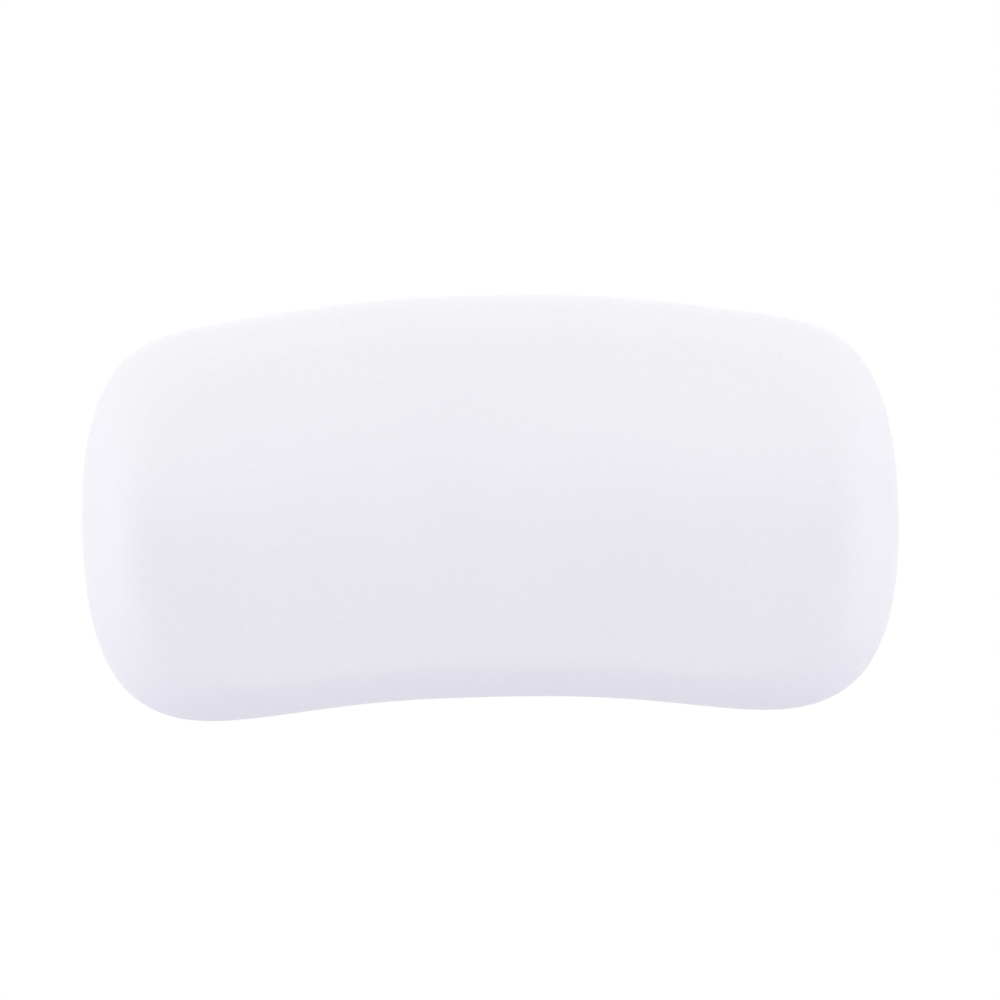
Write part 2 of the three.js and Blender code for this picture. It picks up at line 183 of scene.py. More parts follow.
# Steps round an outline's quarter, up a roll, across a face, round a turned piece and on a short arc
QUARTER_STEPS = 76
ROLL_STEPS = 18
REAR_ROLL_STEPS = 10
FACE_STEPS = 20
TURN_STEPS = 128
ARC_STEPS = 6

# The steps of a roll crowd towards the parting line, and an outline is measured finer than it is drawn
ROLL_CROWDING = 1.25
MEASURES_PER_STEP = 40

# Edges sharper than this stay sharp, and points closer than this in millimetres are merged
SHARP_ANGLE = math.radians(38)
MERGE_DISTANCE = 0.002

# Soft finishes: their colours and roughness, and the pitch and depth of their patterns in millimetres
SKIN_SHADE = "#F1F0F5"
SKIN_LIGHT = "#F5F4F8"
SKIN_ROUGHNESS = (0.46, 0.56)
GRAIN_PITCH = 1.3
GRAIN_DEPTH = 0.06
GRAIN_SLOPE_SHARE = 0.35
CLOUD_PITCH = 60
# The darker foam colour is painted shade at the bottoms of the cells' pits, and the lighter one is the
# foam's own colour
FOAM_PAINTED_PIT_SHADE = "#E2DAC6"
FOAM_LIGHT = "#F6F1E4"
FOAM_CELL = 0.9
FOAM_ROUGHNESS = 0.95
VINYL_COLOUR = "#F8FBFB"
VINYL_ROUGHNESS = (0.1, 0.2)
WAVE_PITCH = 6
WAVE_DEPTH = 0.12

# Hard plastics: shade and light colours, roughness, and the pitch of their texture in millimetres.
# Acetal is milk white with a slight waxy gloss, nylon is cream and waxy, ABS is a plain cool grey
# with a dull even sheen, and polypropylene is a little darker and duller.
ACETAL = ("#EEEEEC", "#F3F3F2", 0.36, 0.5)
NYLON = ("#E6E2D6", "#EDEAE0", 0.4, 0.5)
ABS = ("#DFE1E5", "#E6E8EB", 0.5, 0.7)
POLYPROPYLENE = ("#D0D4D9", "#D9DCE0", 0.55, 0.6)
ROUGHNESS_SPREAD = 0.06
TEXTURE_DEPTH_SHARE = 0.04
PLASTIC_CLOUD_PITCH = 30

# Picture: the photograph is a square, and the pillow lies in it a little off the middle and turned
PICTURE_SIDE = 1000
PILLOW_MIDDLE_PIXEL = (490, 505)
PILLOW_WIDTH_PIXELS = 815
PICTURE_TURN = math.radians(1.2)
LENS = 200
SENSOR = 36

# Stage in metres. A lamp has its azimuth and elevation in degrees, distance, side, watts and colour
FLOOR_HEIGHT = -0.45
FLOOR_SIDE = 2.8
FLOOR_FADE = (0.5, 1.3)
FLOOR_COLOUR = "#E2E1E9"
WHITE = "#FFFFFF"
AMBIENT = "#FDFDFF"
AMBIENT_STRENGTH = 0.89
LAMPS = (
    ("overhead", 0, 72, 1.3, 1.4, 2.55, "#FFFDF2"),
    ("left_wall", -79, -9, 1.2, 0.9, 2.4, WHITE),
    ("right_wall", 79, -13, 1.2, 0.8, 2.2, WHITE),
    ("rear_fill", 180, 20, 1.6, 1.6, 3.5, WHITE),
)


def squared_oval(cosine, sine, squareness, cross_squareness):
    """Points of the unit squared oval in the directions given."""
    return (
        np.sign(cosine) * np.abs(cosine) ** (2 / squareness),
        np.sign(sine) * np.abs(sine) ** (2 / cross_squareness),
    )


def directions_round(steps):
    """Directions round the outline, alike in each quarter, between even angles and even lengths."""
    angles = np.linspace(0, math.pi / 2, MEASURES_PER_STEP * steps + 1)
    unit_x, unit_z = squared_oval(np.cos(angles), np.sin(angles), END_SQUARENESS, EDGE_SQUARENESS)
    lengths = np.hypot(np.diff(unit_x) * HALF_WIDTH, np.diff(unit_z) * BAND_HALF_HEIGHT)
    travelled = np.concatenate([[0], np.cumsum(lengths)])
    measure = (travelled / travelled[-1] + angles / angles[-1]) / 2
    inner = np.interp(np.arange(1, steps) / steps, measure, angles)
    quarter = np.stack([np.cos(inner), np.sin(inner)], axis=1)
    back = quarter[::-1]
    return np.concatenate([
        [[1, 0]], quarter,
        [[0, 1]], back * [-1, 1],
        [[-1, 0]], quarter * [-1, -1],
        [[0, -1]], back * [1, -1],
    ])


def bow(x):
    """Height of the band's middle line at x: zero in the middle, and below it towards the ends."""
    reach = np.minimum(np.abs(x) / BOW_REACH, 1)
    return -BOW_DROP * (1 - np.cos(math.pi * reach**BOW_SQUARENESS)) / 2


def band_ring(directions, end, top, bottom, squareness=END_SQUARENESS, cross_squareness=EDGE_SQUARENESS):
    """One ring round the band as x and z, with its half length and its reach up and down."""
    cosine, sine = directions.T
    unit_x, unit_z = squared_oval(cosine, sine, squareness, cross_squareness)
    x = end * unit_x
    return x, np.where(sine > 0, top, bottom) * unit_z + bow(x) - CUPS_ABOVE_MIDDLE


def spine_rings(directions, side_roll, top_roll, bottom_roll, steps):
    """Rings as x and z that shrink from the inner edge of a roll to a line, ever more like an oval."""
    for step in range(1, steps + 1):
        share = 1 - step / steps
        yield band_ring(
            directions,
            SPINE_HALF_LENGTH + share * (HALF_WIDTH - side_roll - SPINE_HALF_LENGTH),
            share * (BAND_HALF_HEIGHT - top_roll),
            share * (BAND_HALF_HEIGHT - bottom_roll),
            PLAIN_OVAL + share * (END_SQUARENESS - PLAIN_OVAL),
            PLAIN_OVAL + share * (EDGE_SQUARENESS - PLAIN_OVAL),
        )


def face_depth(x, z):
    """How far the front face lies in front of the parting plane."""
    height = z + CUPS_ABOVE_MIDDLE - bow(x)
    lean = LEAN_SLOPE * BEND_SOFTNESS * np.log1p(np.exp((height - BEND_HEIGHT) / BEND_SOFTNESS))
    tucked = np.minimum(height - BEND_HEIGHT, 0) ** 2 / (2 * CHIN_RADIUS)
    wrapped = x**2 / (2 * FACE_RADIUS)
    dish = np.exp(-((x / DISH_HALF_WIDTH) ** 2) - ((height - DISH_HEIGHT) / DISH_HALF_HEIGHT) ** 2)
    return FRONT_DEPTH - lean - tucked - wrapped - DISH_DEPTH * dish


def points_of(x, depth, z):
    """An array of points from x, a depth or depths, and z."""
    return np.stack([x, -np.broadcast_to(depth, x.shape), z], axis=1)


def edge_rings(directions, way):
    """The rounded edge of a skin, in front of the parting plane (way 1) or behind it (way -1).

    Where the two skins meet, their edges leave a fine groove.
    """
    rings = []
    for turn in np.linspace(0, math.pi / 2, ARC_STEPS):
        taken = SKIN_EDGE_ROUND * (1 - math.sin(turn))
        half_height = BAND_HALF_HEIGHT - taken
        x, z = band_ring(directions, HALF_WIDTH - taken, half_height, half_height)
        rings.append(points_of(x, PARTING_DEPTH + way * SKIN_EDGE_ROUND * (1 - math.cos(turn)), z))
    return rings


def front_rings(directions, inset, roll_steps, face_steps):
    """Rings of the front from the parting plane to the spine of its face."""
    rings = []
    half_width = HALF_WIDTH - inset
    half_height = BAND_HALF_HEIGHT - inset
    for step in range(roll_steps + 1):
        turn = math.pi / 2 * (step / roll_steps) ** ROLL_CROWDING
        shelf, rise = squared_oval(math.cos(turn), math.sin(turn), ROLL_SQUARENESS, ROLL_SQUARENESS)
        rolls = (SIDE_ROLL, TOP_ROLL, BOTTOM_ROLL)
        side, top, bottom = ((roll - inset) * (1 - shelf) for roll in rolls)
        x, z = band_ring(directions, half_width - side, half_height - top, half_height - bottom)
        rings.append(points_of(x, PARTING_DEPTH + rise * (face_depth(x, z) - inset), z))
    for x, z in spine_rings(directions, SIDE_ROLL, TOP_ROLL, BOTTOM_ROLL, face_steps):
        rings.append(points_of(x, PARTING_DEPTH + face_depth(x, z) - inset, z))
    return rings


def rear_rings(directions, inset, roll_steps, face_steps):
    """Rings of the back from the parting plane to the spine of the flat back."""
    rings = []
    half_width = HALF_WIDTH - inset
    half_height = BAND_HALF_HEIGHT - inset
    rear_depth = PARTING_DEPTH - STANDOFF
    for step in range(roll_steps + 1):
        turn = math.pi / 2 * step / roll_steps
        taken = (REAR_ROLL - inset) * (1 - math.cos(turn))
        x, z = band_ring(directions, half_width - taken, half_height - taken, half_height - taken)
        rings.append(points_of(x, PARTING_DEPTH - math.sin(turn) * (rear_depth - inset), z))
    for x, z in spine_rings(directions, REAR_ROLL, REAR_ROLL, REAR_ROLL, face_steps):
        rings.append(points_of(x, STANDOFF + inset, z))
    return rings


def placed(name, data):
    """A new object of this data, in the scene."""
    obj = bpy.data.objects.new(name, data)
    bpy.context.scene.collection.objects.link(obj)
    return obj


def cleaned(obj):
    """Merges doubled points, drops faces with no area, turns the faces outwards and smooths them."""
    shape = bmesh.new()
    shape.from_mesh(obj.data)
    bmesh.ops.remove_doubles(shape, verts=shape.verts, dist=MERGE_DISTANCE * MM)
    bmesh.ops.dissolve_degenerate(shape, edges=shape.edges, dist=MERGE_DISTANCE * MM)
    bmesh.ops.recalc_face_normals(shape, faces=shape.faces)
    shape.to_mesh(obj.data)
    shape.free()
    obj.data.shade_smooth()
    obj.data.set_sharp_from_angle(angle=SHARP_ANGLE)
    return obj


def lofted(name, rings, closed=False):
    """Rings of equally many points joined into a skin, and the last to the first if it is closed."""
    count = len(rings[0])
    faces = []
    for at in range(len(rings) if closed else len(rings) - 1):
        here = at * count
        there = (at + 1) % len(rings) * count
        for i in range(count):
            j = (i + 1) % count
            faces.append((here + i, here + j, there + j, there + i))
    mesh = bpy.data.meshes.new(name)
    mesh.from_pydata((np.concatenate(rings) * MM).tolist(), [], faces)
    return cleaned(placed(name, mesh))


def turned(name, profile, centre):
    """A profile of (radius, depth) pairs turned about the Y axis through the centre (x, z).

    A profile that starts off the axis closes on itself, into a ring.
    """
    angles = np.arange(TURN_STEPS) * 2 * math.pi / TURN_STEPS
    rings = [
        points_of(centre[0] + radius * np.cos(angles), depth, centre[1] + radius * np.sin(angles))
        for radius, depth in profile
    ]
    return lofted(name, rings, closed=profile[0][0] > 0)


def capped(name, rings):
    """Rings joined into a skin with a flat face at each end."""
    count = len(rings[0])
    middle = [ring.mean(axis=0, keepdims=True).repeat(count, axis=0) for ring in (rings[0], rings[-1])]
    return lofted(name, [middle[0], *rings, middle[1]])


def block(name, low, high):
    """A plain cutter between two corners."""
    (x0, d0, z0), (x1, d1, z1) = low, high
    rings = [
        np.array([[x0, -d, z0], [x1, -d, z0], [x1, -d, z1], [x0, -d, z1]], float)
        for d in (d0, d1)
    ]
    return capped(name, rings)


def joined(obj, other, operation):
    """Cuts or adds another object, which is used up."""
    modifier = obj.modifiers.new(operation.lower(), "BOOLEAN")
    modifier.operation = operation
    modifier.solver = "EXACT"
    modifier.object = other
    bpy.context.view_layer.update()
    made = bpy.data.meshes.new_from_object(obj.evaluated_get(bpy.context.evaluated_depsgraph_get()))
    obj.modifiers.clear()
    made.name = obj.data.name
    obj.data = made
    bpy.data.objects.remove(other)
    return cleaned(obj)


def cut(obj, other):
    """The object less the other."""
    return joined(obj, other, "DIFFERENCE")


def added(obj, other):
    """The object and the other as one."""
    return joined(obj, other, "UNION")


def pushed_out(obj, distances):
    """Moves each point along its normal, by millimetres that a function works out from the points."""
    count = len(obj.data.vertices)
    points, normals = np.zeros(count * 3), np.zeros(count * 3)
    obj.data.vertices.foreach_get("co", points)
    obj.data.vertices.foreach_get("normal", normals)
    points, normals = points.reshape(-1, 3) / MM, normals.reshape(-1, 3)
    points += normals * np.broadcast_to(distances(points), count)[:, None]
    obj.data.vertices.foreach_set("co", (points * MM).ravel())
    obj.data.update()
    return obj


def unevenness(points):
    """How far a soft moulding swells and sinks, but not at its parting line."""
    swell = np.array([noise.noise(Vector(point) / UNEVEN_LENGTH) for point in points])
    from_parting = np.minimum(np.abs(-points[:, 1] - PARTING_DEPTH) / UNEVEN_FADE, 1)
    return UNEVEN_HEIGHT * swell * from_parting**2


def front_moulding():
    """Front skin: the show face with its rolled edges."""
    directions = directions_round(QUARTER_STEPS)
    outside = edge_rings(directions, 1) + front_rings(directions, 0, ROLL_STEPS, FACE_STEPS)[1:]
    inside = front_rings(directions, SKIN_WALL, ROLL_STEPS // 2, FACE_STEPS // 2)
    return pushed_out(lofted("moulded_front", outside[::-1] + inside), unevenness)


def recess_place(side):
    """Centre (x, z) of a recess, which is the centre of its socket."""
    low, high = millimetres(f"{side}_socket")
    return (low.x + high.x) / 2, (low.z + high.z) / 2


def recess_radius():
    """Radius of a recess, which leaves room round its suction cup."""
    low, high = millimetres("left_suction_cup")
    return (high.x - low.x) / 2 + RECESS_CLEARANCE


def rear_moulding():
    """Rear skin: the flat back with its two recesses, open in the middle for the sockets."""
    directions = directions_round(QUARTER_STEPS)
    outside = edge_rings(directions, -1) + rear_rings(directions, 0, REAR_ROLL_STEPS, FACE_STEPS)[1:]
    inside = rear_rings(directions, SKIN_WALL, REAR_ROLL_STEPS // 2, FACE_STEPS // 2)
    skin = lofted("moulded_back", outside[::-1] + inside)
    socket_low, socket_high = millimetres("left_socket")
    floor = -socket_high.y + FLANGE_THICKNESS + SEAT_GAP
    hole = (socket_high.x - socket_low.x) / 2 - FLANGE_OVERLAP + SEAT_GAP
    wall = recess_radius()
    mouth = [
        (wall + MOUTH_ROUND * (1 - math.cos(turn)), STANDOFF + MOUTH_ROUND * (1 - math.sin(turn)))
        for turn in np.linspace(0, math.pi / 2, 2 * ARC_STEPS)
    ]
    foot = [
        (wall - FOOT_ROUND * (1 - math.sin(turn)), floor - FOOT_ROUND * (1 - math.cos(turn)))
        for turn in np.linspace(0, math.pi / 2, ARC_STEPS)
    ]
    hollow = [
        (0, floor), *foot, *mouth, (wall + MOUTH_ROUND, STANDOFF - OVERRUN), (0, STANDOFF - OVERRUN),
    ]
    pocket_near, pocket_far = STANDOFF + SKIN_WALL / 2, floor + SKIN_WALL
    pocket = [
        (hole, pocket_near), (wall + SKIN_WALL, pocket_near),
        (wall + SKIN_WALL, pocket_far), (hole, pocket_far),
    ]
    for side in SIDES:
        added(skin, turned("pocket", pocket, recess_place(side)))
        cut(skin, turned("hollow", hollow, recess_place(side)))
    return pushed_out(skin, unevenness)


def foam_filling():
    """Foam core: it fills the skins and leaves room for the recesses, the plate and the caps."""
    directions = directions_round(QUARTER_STEPS // 2)
    inset = SKIN_WALL + SEAT_GAP
    rear = rear_rings(directions, inset, REAR_ROLL_STEPS // 2, FACE_STEPS // 2)
    front = front_rings(directions, inset, ROLL_STEPS // 2, FACE_STEPS // 2)
    core = lofted("foam_filling", rear[::-1] + front[1:])
    plate = cleaned(placed("plate_room", frame["nodes"]["carrier_plate"].data.copy()))
    cut(core, pushed_out(plate, lambda points: SEAT_GAP))
    pocket = recess_radius() + SKIN_WALL + SEAT_GAP
    plate_near = -millimetres("carrier_plate")[1].y
    for side in SIDES:
        low, high = millimetres(f"{side}_foam_cap")
        cap = (high.x - low.x) / 2 + SEAT_GAP
        cap_far = -low.y + SEAT_GAP
        room = [
            (0, STANDOFF - OVERRUN), (pocket, STANDOFF - OVERRUN), (pocket, plate_near),
            (cap, plate_near), (cap, cap_far), (0, cap_far),
        ]
        cut(core, turned("room", room, recess_place(side)))
    return core


def corner(radius, depth, size, start, stop):
    """Points of a rounded corner on a profile, about (radius, depth).

    Its two angles are in degrees: 0 points away from the axis and 90 away from the tub wall.
    """
    return [
        (radius + size * math.cos(math.radians(turn)), depth + size * math.sin(math.radians(turn)))
        for turn in np.linspace(start, stop, ARC_STEPS)
    ]


def keyhole_ring(place, grown, depth):
    """Outline of the keyhole, grown outwards: a seat above, a throat and a round entry below."""
    seat = NECK_RADIUS + KEY_SEAT_CLEARANCE + grown
    entry = HEAD_RADIUS + KEY_ENTRY_CLEARANCE + grown
    half_throat = NECK_RADIUS + KEY_THROAT_CLEARANCE + grown
    seat_turn = math.asin(half_throat / seat)
    entry_turn = math.asin(half_throat / entry)
    upper = np.linspace(math.pi - seat_turn, seat_turn - math.pi, 8 * ARC_STEPS)
    lower = np.linspace(-entry_turn, entry_turn - 2 * math.pi, 12 * ARC_STEPS)
    travel = STUD_TRAVEL / 2
    x = np.concatenate([seat * np.sin(upper), entry * np.sin(lower)])
    z = np.concatenate([travel + seat * np.cos(upper), -travel + entry * np.cos(lower)])
    return points_of(place[0] + x, depth, place[1] + z)


def socket_bush(side):
    """Keyhole bush: a rounded flange, a barrel with snap hooks and a chamfered keyhole."""
    low, high = millimetres(f"{side}_socket")
    place = recess_place(side)
    near, far = -high.y, -low.y
    flange = (high.x - low.x) / 2
    barrel = flange - FLANGE_OVERLAP
    hook = barrel + SEAT_GAP + HOOK_BITE
    chamber = barrel - BARREL_WALL
    profile = [
        (0, near + FACE_THICKNESS), (chamber, near + FACE_THICKNESS), (chamber, far), (barrel, far),
        (hook, far - HOOK_THICKNESS), (barrel, far - HOOK_THICKNESS), (barrel, near + FLANGE_THICKNESS),
        (flange, near + FLANGE_THICKNESS),
        *corner(flange - FLANGE_ROUND, near + FLANGE_ROUND, FLANGE_ROUND, 0, -90), (0, near),
    ]
    bush = turned(f"{side}_keyhole_bush", profile, place)
    across = hook + OVERRUN
    slot_near, slot_far = near + FLANGE_THICKNESS + SKIN_WALL + 2 * SEAT_GAP, far + OVERRUN
    half = HOOK_SLOT / 2
    for half_x, half_z in ((half, across), (across, half)):
        slot = block(
            "slot",
            (place[0] - half_x, slot_near, place[1] - half_z),
            (place[0] + half_x, slot_far, place[1] + half_z),
        )
        cut(bush, slot)
    keyhole = [
        keyhole_ring(place, KEY_CHAMFER, near - OVERRUN),
        keyhole_ring(place, KEY_CHAMFER, near),
        keyhole_ring(place, 0, near + KEY_CHAMFER),
        keyhole_ring(place, 0, near + FACE_THICKNESS + OVERRUN),
    ]
    return cut(bush, capped("keyhole", keyhole))


def mushroom_stud(side):
    """Cup stud: a domed head for the keyhole, a collar, and a bead for the cup."""
    low, high = millimetres(f"{side}_cup_stud")
    place = (low.x + high.x) / 2, (low.z + high.z) / 2
    head_far, bead_near = -low.y, -high.y
    head_near = head_far - HEAD_THICKNESS
    collar_far = head_near - FACE_THICKNESS - 2 * SEAT_GAP
    collar_near = collar_far - COLLAR_THICKNESS
    dome_rise = HEAD_THICKNESS - HEAD_EDGE
    dome = [
        (HEAD_RADIUS * math.cos(turn), head_near + HEAD_EDGE + dome_rise * math.sin(turn))
        for turn in np.linspace(math.pi / 2, 0, 3 * ARC_STEPS)
    ]
    bead = [
        (
            SHANK_RADIUS + (BEAD_RADIUS - SHANK_RADIUS) * math.sin(turn),
            bead_near + BEAD_HEIGHT * (1 + math.cos(turn)) / 2,
        )
        for turn in np.linspace(0, math.pi, 2 * ARC_STEPS)
    ]
    edge = STUD_ROUND
    profile = [
        *dome, *corner(HEAD_RADIUS - edge, head_near + edge, edge, 0, -90),
        (NECK_RADIUS + edge, head_near), *corner(NECK_RADIUS + edge, head_near - edge, edge, 90, 180),
        *corner(NECK_RADIUS + edge, collar_far + edge, edge, 180, 270),
        *corner(COLLAR_RADIUS - edge, collar_far - edge, edge, 90, 0),
        *corner(COLLAR_RADIUS - edge, collar_near + edge, edge, 0, -90),
        (SHANK_RADIUS, collar_near), *bead, (0, bead_near),
    ]
    return turned(f"{side}_mushroom_stud", profile, place)


def cup_profile(rim):
    """Profile of a suction cup from the bore in its boss, over its back and lip, to its hollow."""
    shoulder = HOLLOW_DEPTH + DOME_THICKNESS
    groove_far = shoulder + BEAD_HEIGHT + 2 * SEAT_GAP
    groove = BEAD_RADIUS + SEAT_GAP
    mouth = SHANK_RADIUS + SEAT_GAP
    foot = BOSS_RADIUS + BOSS_FILLET
    back = [
        (
            foot + (rim - foot) * share,
            shoulder - (shoulder - LIP_THICKNESS) * (1 - math.cos(math.pi / 2 * share)),
        )
        for share in np.linspace(0, 1, 8 * ARC_STEPS)
    ]
    under = [
        ((rim - LAND_WIDTH) * share, HOLLOW_DEPTH * (1 - share**2))
        for share in np.linspace(1, 0, 8 * ARC_STEPS)
    ]
    fillet = [
        (foot - BOSS_FILLET * math.sin(turn), shoulder + BOSS_FILLET * (1 - math.cos(turn)))
        for turn in np.linspace(math.pi / 2, 0, 2 * ARC_STEPS)
    ]
    return [
        (0, shoulder), (groove, shoulder), (groove, groove_far), (mouth, groove_far), (mouth, CUP_HEIGHT),
        *corner(BOSS_RADIUS - BOSS_ROUND, CUP_HEIGHT - BOSS_ROUND, BOSS_ROUND, 90, 0),
        *fillet, *back[1:-1], *corner(rim - LIP_ROUND, LIP_ROUND, LIP_ROUND, LIP_ANGLE, -90), *under,
    ]


def tab_ring(place, rim, reach, grown, depth):
    """Outline of a pull tab, grown outwards: straight sides from the cup's lip and a round end."""
    half = TAB_WIDTH / 2
    turns = np.linspace(0, math.pi, 4 * ARC_STEPS)
    x = np.concatenate([(half + grown) * np.cos(turns), [-half - grown, half + grown]])
    tip = reach - half + (half + grown) * np.sin(turns)
    z = np.concatenate([tip, np.full(2, rim - LAND_WIDTH)])
    return points_of(place[0] + x, depth, place[1] + z)


def grip_ridge(place, height, reach):
    """A low round ridge across a pull tab, with ends that taper off."""
    half = TAB_WIDTH / 2 - RIDGE_INSET
    sections = (
        (-half, RIDGE_END_SHARE), (-half + RIDGE_HEIGHT, 1),
        (half - RIDGE_HEIGHT, 1), (half, RIDGE_END_SHARE),
    )
    turns = np.linspace(0, 2 * math.pi, 4 * ARC_STEPS, endpoint=False)
    rings = [
        points_of(
            np.full(len(turns), place[0] + x),
            TAB_THICKNESS + share * RIDGE_HEIGHT * np.sin(turns),
            place[1] + height + share * reach * np.cos(turns),
        )
        for x, share in sections
    ]
    return capped("ridge", rings)


def pull_tab(place, rim, reach):
    """Pull tab on the rim, with a rounded end, bevelled edges and grip ridges."""
    tab = capped("tab", [
        tab_ring(place, rim, reach, -TAB_BEVEL, 0),
        tab_ring(place, rim, reach, 0, TAB_BEVEL),
        tab_ring(place, rim, reach, 0, TAB_THICKNESS - TAB_BEVEL),
        tab_ring(place, rim, reach, -TAB_BEVEL, TAB_THICKNESS),
    ])
    pitch = (reach - TAB_WIDTH / 2 - rim) / RIDGE_COUNT
    for i in range(1, RIDGE_COUNT + 1):
        added(tab, grip_ridge(place, rim + i * pitch, pitch * RIDGE_REACH_SHARE))
    return tab


def vinyl_cup(side):
    """Suction cup: a soft dome with a flat lip, a boss that grips the stud, and a pull tab."""
    low, high = millimetres(f"{side}_suction_cup")
    rim = (high.x - low.x) / 2
    place = (low.x + high.x) / 2, low.z + rim
    cup = turned(f"{side}_vinyl_cup", cup_profile(rim), place)
    return added(cup, pull_tab(place, rim, high.z - place[1]))


def linear(hex_colour):
    """Linear colour, with alpha, of an sRGB hex value."""
    channels = [int(hex_colour[i:i + 2], 16) / 255 for i in (1, 3, 5)]
    return [c / 12.92 if c <= 0.04045 else ((c + 0.055) / 1.055) ** 2.4 for c in channels] + [1]


def per_mm(size):
    """Scale of a pattern whose features are this many millimetres apart."""
    return 1 / (size * MM)


def add(tree, kind, settings=None, links=None):
    """Adds a node, with its attributes and input values as settings and its input links."""
    made = tree.nodes.new(kind)
    for name, value in (settings or {}).items():
        if isinstance(name, str) and hasattr(made, name):
            setattr(made, name, value)
        else:
            made.inputs[name].default_value = value
    for name, socket in (links or {}).items():
        tree.links.new(socket, made.inputs[name])
    return made


# Sockets of a Mix node that blends colours, which share their names with others
MIX_FACTOR, MIX_LOW, MIX_HIGH, MIX_RESULT = 0, 6, 7, 2


def new_material(name):
    """A new material and its empty node tree."""
    made = bpy.data.materials.new(name)
    made.use_nodes = True
    made.node_tree.nodes.clear()
    return made, made.node_tree


def integral_skin_polyurethane():
    """White polyurethane foam with its own dense skin, cast in a finely grained tool.

    It gives a satin surface with a wide soft highlight and a faint leather grain. The real grain is
    about half a millimetre, too fine for the picture, so it is drawn at GRAIN_PITCH.
    """
    material, tree = new_material("integral_skin_polyurethane")
    place = add(tree, "ShaderNodeTexCoord").outputs["Object"]
    push = add(
        tree, "ShaderNodeTexNoise", {"Scale": per_mm(2 * GRAIN_PITCH), "Detail": 2}, {"Vector": place}
    )
    pushed = add(
        tree, "ShaderNodeVectorMath",
        {"operation": "MULTIPLY_ADD", 1: (GRAIN_PITCH * MM,) * 3},
        {0: push.outputs["Color"], 2: place},
    )
    creases = add(
        tree, "ShaderNodeTexVoronoi",
        {"feature": "DISTANCE_TO_EDGE", "Scale": per_mm(GRAIN_PITCH)},
        {"Vector": pushed.outputs["Vector"]},
    )
    pebbles = add(
        tree, "ShaderNodeMapRange",
        {"interpolation_type": "SMOOTHSTEP", "From Max": GRAIN_SLOPE_SHARE},
        {"Value": creases.outputs["Distance"]},
    )
    grain = add(
        tree, "ShaderNodeBump", {"Distance": GRAIN_DEPTH * MM}, {"Height": pebbles.outputs["Result"]}
    )
    clouds = add(
        tree, "ShaderNodeTexNoise", {"Scale": per_mm(CLOUD_PITCH), "Detail": 3}, {"Vector": place}
    ).outputs["Fac"]
    colour = add(
        tree, "ShaderNodeMix",
        {"data_type": "RGBA", MIX_LOW: linear(SKIN_SHADE), MIX_HIGH: linear(SKIN_LIGHT)},
        {MIX_FACTOR: clouds},
    )
    roughness = add(
        tree, "ShaderNodeMapRange",
        {"To Min": SKIN_ROUGHNESS[0], "To Max": SKIN_ROUGHNESS[1]}, {"Value": clouds},
    )
    shader = add(tree, "ShaderNodeBsdfPrincipled", {"IOR": 1.5}, {
        "Base Color": colour.outputs[MIX_RESULT],
        "Roughness": roughness.outputs["Result"],
        "Normal": grain.outputs["Normal"],
    })
    add(tree, "ShaderNodeOutputMaterial", links={"Surface": shader.outputs["BSDF"]})
    return material


def open_cell_foam():
    """Cream polyurethane foam with open cells, which leave it dull and pitted, with painted shade in the
    bottom of each pit.
    """
    material, tree = new_material("open_cell_polyurethane_foam")
    place = add(tree, "ShaderNodeTexCoord").outputs["Object"]
    cells = add(
        tree, "ShaderNodeTexVoronoi", {"feature": "F1", "Scale": per_mm(FOAM_CELL)}, {"Vector": place}
    ).outputs["Distance"]
    pits = add(tree, "ShaderNodeBump", {"Distance": FOAM_CELL / 2 * MM}, {"Height": cells})
    # Painted shade: the colour darkens towards the bottom of each cell's pit, where the bump sinks
    colour = add(
        tree, "ShaderNodeMix",
        {"data_type": "RGBA", MIX_LOW: linear(FOAM_PAINTED_PIT_SHADE), MIX_HIGH: linear(FOAM_LIGHT)},
        {MIX_FACTOR: cells},
    )
    shader = add(tree, "ShaderNodeBsdfPrincipled", {"Roughness": FOAM_ROUGHNESS, "IOR": 1.45}, {
        "Base Color": colour.outputs[MIX_RESULT],
        "Normal": pits.outputs["Normal"],
    })
    add(tree, "ShaderNodeOutputMaterial", links={"Surface": shader.outputs["BSDF"]})
    return material


def moulded_plastic(name, shade, light, roughness, pitch, settings):
    """A thermoplastic straight from a spark-eroded tool: even, with a fine matt texture."""
    material, tree = new_material(name)
    place = add(tree, "ShaderNodeTexCoord").outputs["Object"]
    speckle = add(
        tree, "ShaderNodeTexNoise", {"Scale": per_mm(pitch), "Detail": 4}, {"Vector": place}
    ).outputs["Fac"]
    texture = add(
        tree, "ShaderNodeBump", {"Distance": pitch * TEXTURE_DEPTH_SHARE * MM}, {"Height": speckle}
    )
    clouds = add(
        tree, "ShaderNodeTexNoise", {"Scale": per_mm(PLASTIC_CLOUD_PITCH), "Detail": 2}, {"Vector": place}
    )
    colour = add(
        tree, "ShaderNodeMix",
        {"data_type": "RGBA", MIX_LOW: linear(shade), MIX_HIGH: linear(light)},
        {MIX_FACTOR: clouds.outputs["Fac"]},
    )
    matt = add(
        tree, "ShaderNodeMapRange",
        {"To Min": roughness - ROUGHNESS_SPREAD, "To Max": roughness + ROUGHNESS_SPREAD},
        {"Value": speckle},
    )
    shader = add(tree, "ShaderNodeBsdfPrincipled", settings, {
        "Base Color": colour.outputs[MIX_RESULT],
        "Roughness": matt.outputs["Result"],
        "Normal": texture.outputs["Normal"],
    })
    add(tree, "ShaderNodeOutputMaterial", links={"Surface": shader.outputs["BSDF"]})
    return material


